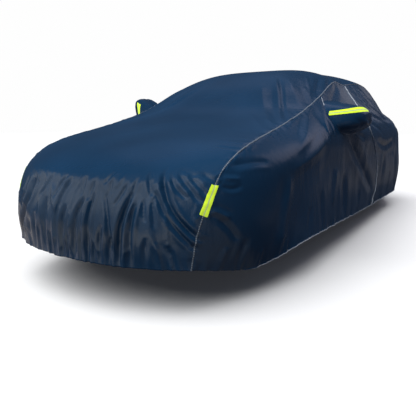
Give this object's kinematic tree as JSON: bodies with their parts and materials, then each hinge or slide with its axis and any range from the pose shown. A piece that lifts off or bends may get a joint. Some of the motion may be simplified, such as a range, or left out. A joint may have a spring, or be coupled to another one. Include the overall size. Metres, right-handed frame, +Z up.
{
  "type": "car cover",
  "caption": "Fitted outdoor cover for a saloon car, hanging hollow in its worn shape, with sewn mirror pockets and reflective strips.",
  "frame": {"origin": "under the middle of the roof cloth, 2 mm clear of its inner face, where the roof of the car holds the cover up", "axes": "+Z up, -Y towards the front of the car, +X towards the car's left side"},
  "size_m": [2.0968, 4.6963, 1.241],
  "materials": {
    "cover_cloth": "coated taffeta, satin",
    "seam_binding": "woven tape, matte",
    "reflective_strip": "reflective tape, satin"
  },
  "bodies": {
    "root": {"top_panel": "cover_cloth", "side_front_left": "cover_cloth", "side_front_right": "cover_cloth", "side_rear_left": "cover_cloth", "side_rear_right": "cover_cloth", "mirror_pocket_left": "cover_cloth", "mirror_pocket_right": "cover_cloth", "seam_long_left": "seam_binding", "seam_long_right": "seam_binding", "seam_upright_left": "seam_binding", "seam_upright_right": "seam_binding", "seam_gusset_left": "seam_binding", "seam_gusset_right": "seam_binding", "strip_front_left": "reflective_strip", "strip_front_right": "reflective_strip", "strip_pocket_left": "reflective_strip", "strip_pocket_right": "reflective_strip"}
  },
  "joints": []
}
